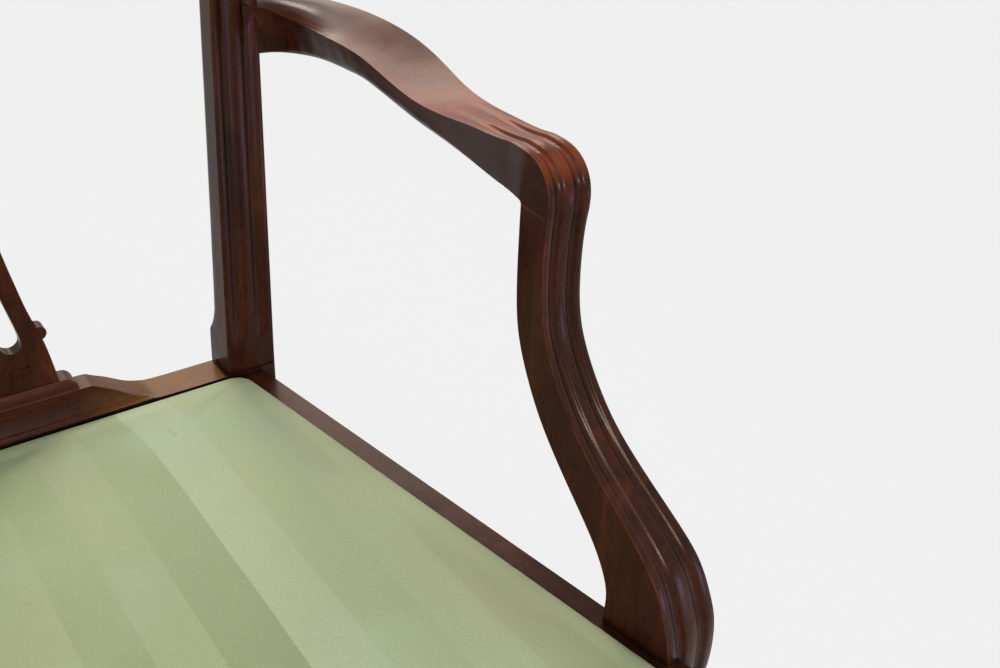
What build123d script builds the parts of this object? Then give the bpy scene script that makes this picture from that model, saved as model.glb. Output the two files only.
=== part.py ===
from build123d import *
import os
from math import cos, pi, radians, sin, sqrt, tan

# An open armchair with a pierced splat, shaped arms and a drop-in seat.
# Lengths are in millimetres and angles in degrees.
# While the pieces are made, the floor is at Z zero, the front faces of the back posts at seat level
# are at Y zero, the sitter looks towards -Y, and X zero is the middle of the chair.

# Whole chair
seat_height = 432.0         # floor to the top of the seat rails
back_rise = 533.0           # top of the rails to the top of the crest
seat_depth = 430.0          # front faces of the posts to the front of the front rail
back_half_width = 208.0     # middle of the chair to a post's outer face at the rails
side_splay = 10.3           # turn of each side rail out of the straight
post_lean = 4.3             # outward lean of the posts above the seat
back_rake = 6.4             # backward lean of the posts above the seat

# Making
overrun = 6.0               # how far a cut runs past what it cuts
glue_gap = 0.1              # room on each cheek of a tenon
end_gap = 1.0               # room at the end of a tenon
hollow_steps = 4            # facets across a hollow
bead_steps = 2              # facets across a bead or rib

# Seat rails
rail_height = 64.0
rail_thickness = 24.0
rail_set_in = 8.3           # the posts stand this far outside the side rails
lip_width = 13.1            # top of a rail beside the seat
rebate_depth = 20.0         # ledge below the top of the rails
rail_edge = 2.2             # rounding of the outer top edge
rail_tenon_thickness = 8.0
rail_tenon_height = 44.0
rail_tenon_length = 20.0
post_side_tenon_length = 11.0
post_back_tenon_length = 10.0
back_rail_depth = 23.5      # behind the front faces of the posts

# Back posts
post_width = 32.5
post_depth = 27.0
post_top_width = 26.5
post_top_depth = 21.0
post_plain_height = 24.0    # left square above the rails
post_moulded_height = 46.0  # hollows at full depth from here up
post_hollow = 2.0           # depth of each hollow
bead_rise = 0.5
post_back_round = 9.5       # bow of the rounded back
bead_share = 0.155          # of a moulded face, each outer bead
groove_share = 0.230        # of a moulded face, each hollow
foot_set_back = 46.0        # rear feet behind the posts
foot_width = 28.0
foot_depth = 29.0
foot_steps = 8              # facets down the bend of a rear leg

# Front legs
leg_width = 43.0
leg_depth = 43.0
leg_chamfer = 11.0
leg_hollow = 2.2
leg_moulding_top = 70.0     # below the top of the rails

# Stretchers
stretcher_height = 118.0    # floor to the middle of the side stretchers
stretcher_thickness = 16.0
stretcher_depth = 30.0
rear_stretcher_lift = 26.0  # the rear one stands higher
stretcher_tenon_thickness = 8.0
stretcher_tenon_height = 20.0
stretcher_tenon_length = 14.0
cross_share = 0.44          # of the seat depth, where the cross stretcher lies

# Arms
arm_reach = 250.5           # front of the posts to the front of the knuckle
arm_out = 263.5             # middle of the chair to an arm's middle line at its widest
arm_rise = 231.5            # top of the rails to the top of an arm at the post
arm_width = 36.0
arm_depth = 31.5
arm_crown = 2.6
arm_hollow = 2.0
arm_tenon_length = 13.0
arm_tenon_thickness = 8.0
arm_tenon_height = 18.0
arm_joint_height = 206.5    # top of the rails to the joint of arm and support
knuckle_centre = 228.5      # in front of the posts
knuckle_radius = 28.0
knuckle_inner = 2.0
support_reach = 341.0       # front of the posts to the front of a support's foot
support_width = 37.0
support_lap = 9.0           # let into the rail's outer face
support_lean = 1.5          # inwards, at the top
support_lap_set_in = 2.0    # the let-in block stops short of the support's front and back
support_tenon_length = 14.0
support_tenon_thickness = 8.0
support_tenon_depth = 10.0
lap_height = 54.0

# Crest rail
crest_height = 63.0         # joint with the posts to the top of the middle
crest_end_radius = 6.0      # inside of the turn from post to crest
crest_bead = 4.1
crest_groove = 6.1
crest_back_round = 4.5
crest_tenon_length = 16.0
crest_tenon_width = 12.0
crest_tenon_thickness = 8.0

# Splat and shoe
splat_thickness = 8.5
splat_rib = 11.0            # beside the outer slots
slot_end_steps = 6          # facets round the end of a slot
splat_front = 12.5          # behind the front of the posts, at the shoe's top
splat_half_width = 75.0     # at its foot
splat_tenon_length = 14.0
splat_ear_radius = 4.6
splat_ear_sides = 12
shoe_height = 28.5
shoe_half_length = 85.0     # of the raised middle
shoe_end_height = 3.3
shoe_depth = 23.5

# Corner braces and screws
brace_reach_front = 92.0
brace_reach_rear = 62.0
brace_height = 30.0
brace_drop = 2.0            # below the ledge
screw_radius = 2.2
screw_head_radius = 4.6
screw_head_height = 2.6
screw_length = 34.0
long_screw_length = 50.0    # through the larger braces
screw_sink = 0.3            # heads below the surface
screw_sides = 8

# Drop-in seat
seat_gap = 0.7              # all round, between cover and rails
rest_gap = 0.3              # between cover and ledge
cover_thickness = 1.2
frame_height = 17.5
frame_width = 52.0
frame_lap_share = 0.5       # of the frame's height, at the corner halvings
seat_corner = 9.0
corner_steps = 4            # facets round a corner of the seat
crown_height = 21.5         # cover above the rails at the middle of the seat
edge_height = 1.0           # cover above the rails where the crown starts
corner_growth = 0.3         # the crown's corners open by this share of their way inwards
turn_under = 20.0           # cover under the frame
strap_shares = (0.22, 0.5, 0.78)
webbing_width = 50.0
webbing_thickness = 1.2
webbing_inset = 14.0
webbing_step = 4.0          # where a strap steps down to the frame
base_cloth_thickness = 0.8
stuffing_gap = 0.3
tack_head = 5.0
tack_head_height = 0.8
tack_shank = 1.8
tack_point = 0.5
tack_length = 9.0
cover_tack_inset = 15.5

splay_rise = tan(radians(side_splay))
lean_rise = tan(radians(post_lean))
rake_rise = tan(radians(back_rake))
floor_drop = -seat_height
well_floor = -rebate_depth
brace_top = well_floor - brace_drop
post_height = back_rise - crest_height
joint_x = back_half_width - post_top_width / 2 + post_height * lean_rise
stretcher_z = stretcher_height - seat_height
cover_bottom = well_floor + rest_gap
frame_bottom = cover_bottom + cover_thickness
frame_top = frame_bottom + frame_height


# Every piece is first made with the top of the rails at Z zero, and lifted at the end.


def rail_face(y):
    """X of the side rail's outer face at Y."""
    return back_half_width - rail_set_in - y * splay_rise


def arc(start, middle, end):
    return Edge.make_three_point_arc(start, middle, end)


def moulded_wire(
    face, across, inward, width, depth, hollow, bow, crown=0.0, bead=None, groove=None, back_steps=6
):
    """Closed section: bead, hollow, rib, hollow and bead on the face, straight sides and a bowed back.
    face is the middle of the moulded face, across and inward are unit vectors in the section's plane."""
    bead = width * bead_share if bead is None else bead
    groove = width * groove_share if groove is None else groove
    half = width / 2
    swell = bead_rise * min(hollow / arm_hollow, 1)
    stops = [-half, bead - half, bead + groove - half, half - bead - groove, half - bead, half]
    points = []
    for index, (a, b) in enumerate(zip(stops, stops[1:])):
        sink, steps = (hollow, hollow_steps) if index % 2 else (-swell, bead_steps)
        for step in range(steps):
            u = step / steps
            s = a + (b - a) * u
            t = sink * 4 * u * (1 - u) - crown * (1 - (s / half) ** 2)
            points.append(face + across * s + inward * t)
    points.append(face + across * half)
    for step in range(back_steps + 1):
        turn = pi * step / back_steps
        points.append(face + across * (half * cos(turn)) + inward * (depth - bow * (1 - sin(turn))))
    points.append(face - across * half)
    return Wire.make_polygon(points[:-1], close=True)


def square_wire(face, across, inward, width, depth):
    """Closed plain section, placed like a moulded one."""
    right, back = across * (width / 2), inward * depth
    corners = [face - right, face + right, face + right + back, face - right + back]
    return Wire.make_polygon(corners, close=True)


def loft_through(wires):
    return Part() + Solid.make_loft(wires, ruled=True)


def flat_sided(rings):
    """Solid with a flat facet between each side of a ring of points and the next ring's, and flat ends."""
    outlines = [rings[0], rings[-1]]
    for low, high in zip(rings, rings[1:]):
        for index in range(len(low)):
            outlines.append([low[index - 1], low[index], high[index], high[index - 1]])
    faces = [Face(Wire.make_polygon(outline, close=True)) for outline in outlines]
    return Part() + Solid(Shell(faces))


def eased(rows, steps):
    """The rows with steps - 1 more between each two, on a smooth curve through them all."""
    last = len(rows) - 1
    out = []
    for index in range(last):
        around = [rows[max(0, min(last, index + offset))] for offset in (-1, 0, 1, 2)]
        for step in range(steps):
            t = step / steps
            out.append([smooth_value(t, *values) for values in zip(*around)])
    out.append(list(rows[-1]))
    return out


def smooth_value(t, before, start, end, after):
    """Value at t from 0 to 1 between start and end, its slope set by the values on either side."""
    slope_in, slope_out = (end - before) / 2, (after - start) / 2
    rise = end - start
    square = 3 * rise - 2 * slope_in - slope_out
    cube = slope_in + slope_out - 2 * rise
    return start + t * slope_in + t**2 * square + t**3 * cube


def bar(start, end, thickness, height):
    """Straight bar from start to end, its height upright."""
    start, end = Vector(*start), Vector(*end)
    run = end - start
    side = Vector(0, 0, 1).cross(run)
    place = Plane(origin=(start + end) / 2, x_dir=run, z_dir=run.cross(side))
    return place * Box(run.length, thickness, height)


def prism(points, bottom, top):
    """Upright prism on a plan of (x, y) points."""
    face = make_face(Polyline([(x, y, bottom) for x, y in points], close=True))
    return extrude(face, top - bottom, dir=(0, 0, 1))


def mirrored(shape):
    return mirror(shape, about=Plane.YZ)


def mid_rail_line(y, inset):
    """Point on a line parallel to the side rail, inset from its outer face."""
    return rail_face(y) - inset / cos(radians(side_splay)), y


# Seat well


def well_plan(inset):
    """Plan of the seat well, drawn in by inset on every side."""
    back = -inset
    front = -seat_depth + lip_width + inset
    return [
        (rail_face(back) - lip_width - inset, back),
        (rail_face(front) - lip_width - inset, front),
        (-rail_face(front) + lip_width + inset, front),
        (-rail_face(back) + lip_width + inset, back),
    ]


def seat_well():
    return prism(well_plan(0.0), well_floor, overrun)


# Back posts with their rear legs


def post_place(z, width, set_back):
    """Middle of a post's front face at height z, and the directions of its level sections."""
    out = max(z, 0) * lean_rise
    return Vector(back_half_width - width / 2 + out, set_back, z), Vector(1, 0, 0), Vector(0, 1, 0)


def raised_size(z):
    """Width and depth of the post at height z above the rails."""
    share = z / post_height
    width = post_width + (post_top_width - post_width) * share
    depth = post_depth + (post_top_depth - post_depth) * share
    return width, depth


def raised_wire(z, moulded=None):
    """Section of the leaning post, square or moulded from 0 for plain to 1 for full depth."""
    width, depth = raised_size(z)
    place = post_place(z, width, z * rake_rise)
    if moulded is None:
        return square_wire(*place, width, depth)
    return moulded_wire(*place, width, depth, post_hollow * moulded, post_back_round * moulded)


def foot_wire(drop, share):
    """Section of the rear leg at a drop below the rails, share of the way down to the foot."""
    width = post_width + (foot_width - post_width) * share
    depth = post_depth + (foot_depth - post_depth) * share
    return square_wire(*post_place(-drop, width, foot_set_back * share**2), width, depth)


def rear_leg_middle(z):
    """Y of the rear leg's middle at height z below the rails."""
    share = (-z - rail_height) / (seat_height - rail_height)
    return foot_set_back * share**2 + (post_depth + (foot_depth - post_depth) * share) / 2


def post_upper():
    low, high = post_plain_height, post_moulded_height
    plain = loft_through([raised_wire(0.0), raised_wire(low)])
    wires = []
    for share in (0.0, 0.25, 0.5, 0.75, 1.0):
        wires.append(raised_wire(low + (high - low) * share, 1 - (1 - share) ** 2))
    wires.append(raised_wire(post_height, 1.0))
    return plain + loft_through(wires)


def post_lower():
    block = loft_through([foot_wire(0.0, 0.0), foot_wire(rail_height, 0.0)])
    wires = []
    for step in range(foot_steps + 1):
        share = step / foot_steps
        wires.append(foot_wire(rail_height + (seat_height - rail_height) * share, share))
    return block + loft_through(wires)


def post_blank():
    return post_lower() + post_upper()


# Rails


def side_rail_blank():
    back, front = 0.0, -seat_depth + leg_depth
    plan = [
        (rail_face(back), back),
        (rail_face(front), front),
        mid_rail_line(front, rail_thickness),
        mid_rail_line(back, rail_thickness),
    ]
    blank = prism(plan, -rail_height, 0.0)
    outer_top_edge = blank.edges().group_by(Axis.Z)[-1].sort_by(Axis.X)[-1]
    return fillet(outer_top_edge, rail_edge)


def side_rail_tenon(gap, end):
    """Tenon bar through the whole side rail, reaching into post and front leg."""
    inset = rail_set_in
    near, far = post_side_tenon_length + end, -seat_depth + leg_depth - rail_tenon_length - end
    (x_a, y_a), (x_b, y_b) = mid_rail_line(near, inset), mid_rail_line(far, inset)
    z = (well_floor - rail_height) / 2
    height = rail_height - rebate_depth - rail_set_in
    return bar((x_a, y_a, z), (x_b, y_b, z), rail_tenon_thickness + 2 * gap, height + 2 * gap)


def front_rail_blank():
    reach = rail_face(-seat_depth) - leg_width
    front, back = -seat_depth, rail_thickness - seat_depth
    return prism([(-reach, front), (reach, front), (reach, back), (-reach, back)], -rail_height, 0.0)


def front_rail_tenon(gap, end):
    reach = rail_face(-seat_depth) - leg_width + rail_tenon_length + end
    y = rail_thickness / 2 - seat_depth
    z = (well_floor - rail_height) / 2
    height = rail_height - rebate_depth - rail_set_in
    return bar((-reach, y, z), (reach, y, z), rail_tenon_thickness + 2 * gap, height + 2 * gap)


def back_rail_blank():
    reach = back_half_width - post_width
    ledge = lip_width - rail_thickness
    plan = [(-reach, ledge), (reach, ledge), (reach, back_rail_depth), (-reach, back_rail_depth)]
    return prism(plan, -rail_height, 0.0)


def back_rail_tenon(gap, end):
    reach = back_half_width - post_width + post_back_tenon_length + end
    y = back_rail_depth - rail_tenon_thickness
    return bar(
        (-reach, y, -rail_height / 2),
        (reach, y, -rail_height / 2),
        rail_tenon_thickness + 2 * gap,
        rail_tenon_height + 2 * gap,
    )


# Front legs


def moulded_run(start, end, depth_out):
    """Arcs of bead, hollow, rib, hollow and bead along a straight run, depth_out pointing out of it."""
    run = end - start
    edges = []
    stops = [0, bead_share, bead_share + groove_share, 1 - bead_share - groove_share, 1 - bead_share, 1]
    for index, (a, b) in enumerate(zip(stops, stops[1:])):
        rise = -leg_hollow if index % 2 else bead_rise
        middle = start + run * ((a + b) / 2) + depth_out * rise
        edges.append(arc(start + run * a, middle, start + run * b))
    return edges


def leg_corners(z):
    back, front = leg_depth - seat_depth, -seat_depth
    outer_back = Vector(rail_face(back), back, z)
    outer_front = Vector(rail_face(front), front, z)
    inner_front = Vector(rail_face(front) - leg_width, front, z)
    inner_back = Vector(rail_face(front) - leg_width, back, z)
    return outer_back, outer_front, inner_front, inner_back


def front_leg_blank():
    """Plain at the rails, and below them moulded outside and chamfered inside."""
    top = -leg_moulding_top
    plain = [(p.X, p.Y) for p in leg_corners(0.0)]
    head = prism(plain, top, 0.0)
    outer_back, outer_front, inner_front, inner_back = leg_corners(floor_drop)
    outward = Vector(cos(radians(side_splay)), sin(radians(side_splay)), 0)
    edges = moulded_run(outer_back, outer_front, outward)
    edges += moulded_run(outer_front, inner_front, Vector(0, -1, 0))
    chamfer_a = inner_back + Vector(0, -leg_chamfer, 0)
    chamfer_b = inner_back + Vector(leg_chamfer, 0, 0)
    edges.append(Edge.make_line(inner_front, chamfer_a))
    edges.append(Edge.make_line(chamfer_a, chamfer_b))
    edges.append(Edge.make_line(chamfer_b, outer_back))
    shaft = extrude(Face(Wire(edges)), seat_height - leg_moulding_top, dir=(0, 0, 1))
    return head + shaft


# Stretchers


def stretcher_line(y):
    """X of the side stretcher's middle at Y."""
    rear_x = back_half_width - post_width / 2
    front_x = rail_face(-seat_depth) - leg_width / 2
    rear_y, front_y = rear_leg_middle(stretcher_z), leg_depth / 2 - seat_depth
    share = (y - rear_y) / (front_y - rear_y)
    return rear_x + (front_x - rear_x) * share


def side_stretcher_bar(near, far, thickness, height):
    return bar(
        (stretcher_line(near), near, stretcher_z), (stretcher_line(far), far, stretcher_z), thickness, height
    )


def side_stretcher_tenon(gap, end):
    near = rear_leg_middle(stretcher_z) - post_depth / 2 + stretcher_tenon_length + end
    far = leg_depth - seat_depth - stretcher_tenon_length - end
    return side_stretcher_bar(near, far, stretcher_tenon_thickness + 2 * gap, stretcher_tenon_height + 2 * gap)


def cross_stretcher_bar(extra, thickness, height):
    y = -seat_depth * cross_share
    reach = stretcher_line(y) + extra
    return bar((-reach, y, stretcher_z), (reach, y, stretcher_z), thickness, height)


def rear_stretcher_bar(extra, thickness, height):
    z = stretcher_z + rear_stretcher_lift
    reach = back_half_width - post_width + extra
    y = rear_leg_middle(z)
    return bar((-reach, y, z), (reach, y, z), thickness, height)


# Arms

arm_stations_shares = [
    # Each row: shares of arm_out, arm_reach and arm_rise that place the middle of the top, the heading in
    # degrees from sideways to forwards, width, outward tilt in degrees, depth, bow of the underside,
    # hollow and crown.
    (0.820, -0.144, 1.000, 0, 0.556, 0, 1.000, 0.10, 0.0, 0.3),
    (0.877, -0.132, 1.000, 15, 0.611, 8, 0.980, 0.10, 0.0, 0.8),
    (0.922, -0.092, 0.994, 45, 0.667, 16, 0.930, 0.14, 0.0, 1.0),
    (0.964, 0.000, 0.986, 70, 0.778, 19, 0.800, 0.18, 0.0, 0.8),
    (0.989, 0.120, 0.981, 85, 0.917, 14, 0.700, 0.22, 0.0, 0.3),
    (1.000, 0.240, 0.971, 92, 1.000, 7, 0.620, 0.24, 0.0, -0.3),
    (0.994, 0.359, 0.956, 97, 0.958, 6.5, 0.560, 0.24, 0.0, -0.4),
    (0.979, 0.479, 0.948, 97, 0.833, 8, 0.530, 0.22, 0.0, -0.2),
    (0.966, 0.599, 0.955, 95, 0.736, 5, 0.556, 0.18, 0.05, 0.0),
    (0.953, 0.719, 0.974, 95, 0.681, 1, 0.667, 0.12, 0.6, 0.0),
    (0.941, 0.818, 0.989, 94, 0.653, 0, 0.746, 0.08, 1.0, 0.0),
    (0.9355, 0.875, 1.002, 92, 0.640, 0, 0.794, 0.04, 1.0, 0.0),
]

knuckle_stations_shares = [
    # angle in degrees from the top to the front, share of the knuckle's radius
    (0, 0.950),
    (15, 0.970),
    (30, 0.980),
    (45, 0.965),
    (60, 0.91),
    (75, 0.84),
    (90, 0.786),
]

support_stations_shares = [
    # shares of the joint's height, of the reach in front and behind, of the width and of the rail's splay
    (1.000, 0.7346, 0.6760, 0.632, 0.0),
    (0.925, 0.7302, 0.6760, 0.620, 0.2),
    (0.765, 0.7302, 0.6770, 0.635, 0.5),
    (0.639, 0.7507, 0.6890, 0.650, 0.7),
    (0.475, 0.8090, 0.7330, 0.690, 0.9),
    (0.329, 0.8970, 0.7980, 0.784, 1.0),
    (0.218, 0.9590, 0.8500, 0.890, 1.0),
    (0.111, 0.9850, 0.8800, 0.973, 1.0),
    (0.020, 1.0000, 0.8780, 1.000, 1.0),
    (-0.12, 1.0000, 0.8780, 1.000, 1.0),
    (-0.26, 0.9850, 0.8850, 0.950, 1.0),
]


def support_section(row):
    """Face middle, directions, width and depth of a level section of the arm support."""
    height_share, front_share, back_share, width_share, splay_share = row
    z = height_share * arm_joint_height
    front, back = -front_share * support_reach, -back_share * support_reach
    turn = radians(side_splay * splay_share)
    across, inward = Vector(cos(turn), sin(turn), 0), Vector(-sin(turn), cos(turn), 0)
    width = width_share * support_width
    depth = (back - front) / cos(turn)
    middle = (front + back) / 2
    inner = Vector(rail_face(middle) - support_lap - support_lean * (1 - splay_share), middle, z)
    face = inner + across * (width / 2) - inward * (depth / 2)
    return face, across, inward, width, depth


def support_blank():
    wires = []
    for row in eased(support_stations_shares, 2):
        face, across, inward, width, depth = support_section(row)
        wires.append(moulded_wire(face, across, inward, width, depth, arm_hollow, 0.0, back_steps=1))
    return loft_through(wires)


def arm_blank():
    wires = []
    for row in eased(arm_stations_shares, 2):
        out, reach, rise, heading, width, tilt, depth, bow, hollow, crown = row
        face = Vector(out * arm_out, -reach * arm_reach, rise * arm_rise)
        a, b = radians(heading), radians(tilt)
        across = Vector(sin(a) * cos(b), cos(a) * cos(b), sin(b))
        inward = Vector(sin(a) * sin(b), cos(a) * sin(b), -cos(b))
        wires.append(
            moulded_wire(
                face,
                across,
                inward,
                width * arm_width,
                depth * arm_depth,
                hollow * arm_hollow,
                bow * arm_depth,
                crown * arm_crown,
            )
        )
    joint_face, across, inward, width, depth = support_section(support_stations_shares[0])
    centre = Vector(joint_face.X, -knuckle_centre, arm_joint_height)
    for angle, radius_share in knuckle_stations_shares:
        a = radians(angle)
        outward = Vector(0, -sin(a), cos(a))
        radius = radius_share * knuckle_radius
        face = centre + outward * radius
        depth = radius - knuckle_inner
        wires.append(moulded_wire(face, across, -outward, width, depth, arm_hollow, 0.0))
    return loft_through(wires)


def arm_tenon(gap, end):
    y = arm_depth
    z = arm_rise - arm_depth / 2
    x_far = back_half_width + z * lean_rise + arm_tenon_length
    x_near = back_half_width + z * lean_rise - arm_tenon_length - end
    return bar((x_near, y, z), (x_far, y, z), arm_tenon_thickness + 2 * gap, arm_tenon_height + 2 * gap)


def support_tenon(gap, end):
    """Upright stub tenon from the support into the arm's knuckle."""
    face, across, inward, width, depth = support_section(support_stations_shares[0])
    middle = face + inward * (depth / 2)
    length = support_tenon_length + end
    box = Box(support_tenon_thickness + 2 * gap, support_tenon_depth + 2 * gap, 2 * length)
    return Pos(middle.X, middle.Y, arm_joint_height) * box


def support_lap_block(gap):
    """The part of the support that is let into the rail."""
    face, across, inward, width, depth = support_section(support_stations_shares[-3])
    turn = radians(side_splay)
    x_dir = Vector(sin(turn), -cos(turn), 0)
    length = depth - 2 * support_lap_set_in + 2 * gap
    middle = face + across * (support_lap / 2 - width / 2) + inward * (depth / 2)
    place = Plane(origin=(middle.X, middle.Y, -lap_height / 2), x_dir=x_dir, z_dir=(0, 0, 1))
    return place * Box(length, support_lap + 2 * gap, lap_height + 2 * gap)


# Crest rail


crest_run_shares = [
    # share of the way from the middle to the shoulder, then heights of the lower and upper edges above the
    # joint as shares of the crest's height
    (0.78, 0.027, 0.713),
    (0.56, -0.049, 0.568),
    (0.34, -0.133, 0.678),
    (0.16, -0.168, 0.898),
    (0.0, -0.184, 1.0),
    (-0.16, -0.168, 0.898),
]


def crest_rows():
    """From the joint with the right post, round its shoulder and on to the middle: the middle of the turn,
    the direction of the section, and its inner and outer edges."""
    centre_x = joint_x - post_top_width / 2 - crest_end_radius
    rows = []
    for angle, share in eased([(0, 1.0), (30, 1.10), (60, 1.25), (90, 1.36)], 2):
        a = radians(angle)
        outer = crest_end_radius + post_top_width * share
        rows.append((centre_x, cos(a), sin(a), crest_end_radius, outer))
    shoulder = (1.0, crest_end_radius / crest_height, outer / crest_height)
    for x_share, low_share, high_share in eased([shoulder] + crest_run_shares, 3)[1:-3]:
        rows.append((centre_x * x_share, 0.0, 1.0, low_share * crest_height, high_share * crest_height))
    return rows


def crest_wire(row, side):
    x, out, up, inner, outer = row
    middle = (inner + outer) / 2
    level = post_height + up * middle
    face = Vector(side * (x + out * middle), level * rake_rise, level)
    across = Vector(side * out, up * rake_rise, up)
    width = (outer - inner) * across.length
    bow = crest_back_round + (post_back_round - crest_back_round) * out
    return moulded_wire(
        face,
        across.normalized(),
        Vector(0, 1, 0),
        width,
        post_top_depth,
        post_hollow,
        bow,
        bead=crest_bead,
        groove=crest_groove,
    )


def crest_blank():
    rows = crest_rows()
    wires = [crest_wire(row, 1) for row in rows]
    wires += [crest_wire(row, -1) for row in reversed(rows[:-1])]
    return loft_through(wires)


def crest_tenon(gap, end):
    """Tenon on the head of the right post."""
    y = post_height * rake_rise + post_top_depth / 2
    length = crest_tenon_length + end
    box = Box(crest_tenon_width + 2 * gap, crest_tenon_thickness + 2 * gap, 2 * length)
    return Pos(joint_x, y, post_height) * box


# Splat and shoe

splat_top = post_height - 0.117 * crest_height

splat_foot_shares = [(0.0, 1.0), (0.055, 0.96)]

splat_side_shares = [
    # share of the height from shoe to crest rail, share of the foot's half width
    (0.115, 0.865),
    (0.15, 0.83),
    (0.20, 0.78),
    (0.30, 0.70),
    (0.38, 0.67),
    (0.48, 0.72),
    (0.60, 0.90),
    (0.72, 1.10),
    (0.80, 1.15),
    (0.88, 1.05),
    (0.94, 0.90),
    (1.0, 0.84),
]

splat_slots_shares = [
    # bottom and top as shares of the height from shoe to crest rail, and straight lengths in each side
    (0.071, 0.347, 4),
    (0.443, 0.917, 7),
]
slots_abreast = 5


def splat_level(share):
    return shoe_height + share * (splat_top - shoe_height)


def splat_point(x, z):
    """Point on the splat's front face."""
    return Vector(x, splat_front + (z - shoe_height) * rake_rise, z)


def splat_outline_rows():
    return splat_foot_shares + eased(splat_side_shares, 2)


def splat_half(z):
    """Half width of the splat at height z, read between the outline's points."""
    known = splat_outline_rows()
    share = (z - shoe_height) / (splat_top - shoe_height)
    for (low, low_width), (high, high_width) in zip(known, known[1:]):
        if share <= high:
            break
    width_share = low_width + (high_width - low_width) * (share - low) / (high - low)
    return splat_half_width * width_share


def splat_slot(low, high, index, steps):
    """One of the slots that lie side by side, its sides following the outline and its ends round."""
    units = 2 * slots_abreast - 1

    def side(z, unit):
        return (splat_half(z) - splat_rib) * (2 * unit / units - 1)

    right, left = [], []
    for step in range(steps + 1):
        z = low + (high - low) * step / steps
        right.append((side(z, 2 * index + 1), z))
        left.append((side(z, 2 * index), z))
    points = list(right)
    for edge_right, edge_left, start in ((right[-1], left[-1], 0), (left[0], right[0], pi)):
        centre = (edge_right[0] + edge_left[0]) / 2
        radius = abs(edge_right[0] - edge_left[0]) / 2
        for step in range(1, slot_end_steps):
            turn = start + pi * step / slot_end_steps
            points.append((centre + radius * cos(turn), edge_right[1] + radius * sin(turn)))
        if start == 0:
            points += reversed(left)
    wire = Wire.make_polygon([splat_point(x, z) - Vector(0, overrun, 0) for x, z in points], close=True)
    return extrude(Face(wire), splat_thickness + 2 * overrun, dir=(0, 1, 0))


def splat_blank():
    rows = [(width * splat_half_width, splat_level(share)) for share, width in splat_outline_rows()]
    points = [splat_point(x, z) for x, z in rows] + [splat_point(-x, z) for x, z in reversed(rows)]
    body = extrude(Face(Wire.make_polygon(points, close=True)), splat_thickness, dir=(0, 1, 0))
    for side in (-1, 1):
        ear = splat_point(side * (splat_half_width * 0.985 - splat_ear_radius), splat_level(0.0755))
        face = Plane(origin=ear, x_dir=(1, 0, 0), z_dir=(0, 1, 0))
        outline = face * RegularPolygon(splat_ear_radius, splat_ear_sides)
        body += extrude(outline, splat_thickness, dir=(0, 1, 0))
    for low_share, high_share, steps in splat_slots_shares:
        for index in range(slots_abreast):
            body -= splat_slot(splat_level(low_share), splat_level(high_share), index, steps)
    return body


def splat_tenon(z, share, length, gap):
    """Tenon bar across the foot or the head of the splat."""
    reach = splat_half(z) * share
    middle = splat_point(0, z) + Vector(0, splat_thickness / 2, 0)
    box = Box(2 * (reach + gap), splat_thickness * share + 2 * gap, 2 * length)
    return Pos(middle.X, middle.Y, z) * box


def shoe_blank():
    """The front outline pushed back, crossed with the end profile pushed along."""
    end = back_half_width
    low = shoe_end_height
    z_top = shoe_height
    step = z_top * 0.74
    x_top = shoe_half_length
    lump = x_top * 1.09
    run_shares = [(1.13, 0.66), (1.22, 0.53), (1.36, 0.28), (1.45, 0.18), (1.54, low / z_top)]
    run = [(x_top * a, z_top * b) for a, b in run_shares]
    corner = z_top - step
    right = [
        Edge.make_line((end, 0, 0), (end, 0, low)),
        Edge.make_line((end, 0, low), (run[-1][0], 0, low)),
        Edge.make_spline([(x, 0, z) for x, z in reversed(run)] + [(lump, 0, step)]),
        Edge.make_line((lump, 0, step), (x_top, 0, step)),
        arc((x_top, 0, step), (x_top - corner * 0.3, 0, z_top - corner * 0.3), (x_top - corner, 0, z_top)),
    ]
    left = [edge.mirror(Plane.YZ) for edge in reversed(right)]
    top = Edge.make_line((x_top - corner, 0, z_top), (corner - x_top, 0, z_top))
    base = Edge.make_line((-end, 0, 0), (end, 0, 0))
    front = extrude(Face(Wire(right + [top] + left + [base])), shoe_depth, dir=(0, 1, 0))
    nose = low
    cove_z, cove_y = z_top * 0.70, shoe_depth * 0.34
    fillet_y = cove_y + low * 0.3
    top_y = splat_front - low * 0.35
    profile = [
        arc((0, nose, 2 * nose), (0, nose * 0.293, nose * 1.707), (0, 0, nose)),
        Edge.make_line((0, 0, nose), (0, 0, 0)),
        Edge.make_line((0, 0, 0), (0, shoe_depth, 0)),
        Edge.make_line((0, shoe_depth, 0), (0, shoe_depth, z_top)),
        Edge.make_line((0, shoe_depth, z_top), (0, top_y, z_top)),
        arc((0, top_y, z_top), (0, fillet_y + nose * 0.3, z_top * 0.90), (0, fillet_y, z_top * 0.76)),
        Edge.make_line((0, fillet_y, z_top * 0.76), (0, cove_y, z_top * 0.74)),
        Edge.make_line((0, cove_y, z_top * 0.74), (0, cove_y, cove_z)),
        arc((0, cove_y, cove_z), (0, nose * 1.75, nose * 3.6), (0, nose, 2 * nose)),
    ]
    side = extrude(Face(Wire(profile)), end, dir=(1, 0, 0), both=True)
    return front & side


# Corner braces and screws


def screw(head, direction, length):
    """Countersunk wood screw, its head's middle at head and its point along direction."""
    rings = [
        (0, screw_head_radius),
        (screw_head_height, screw_radius),
        (length * 0.8, screw_radius),
        (length, screw_radius * 0.25),
    ]
    wires = [Pos(0, 0, z) * RegularPolygon(radius, screw_sides).wire() for z, radius in rings]
    return Plane(origin=head + direction * screw_sink, z_dir=direction) * loft_through(wires)


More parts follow.
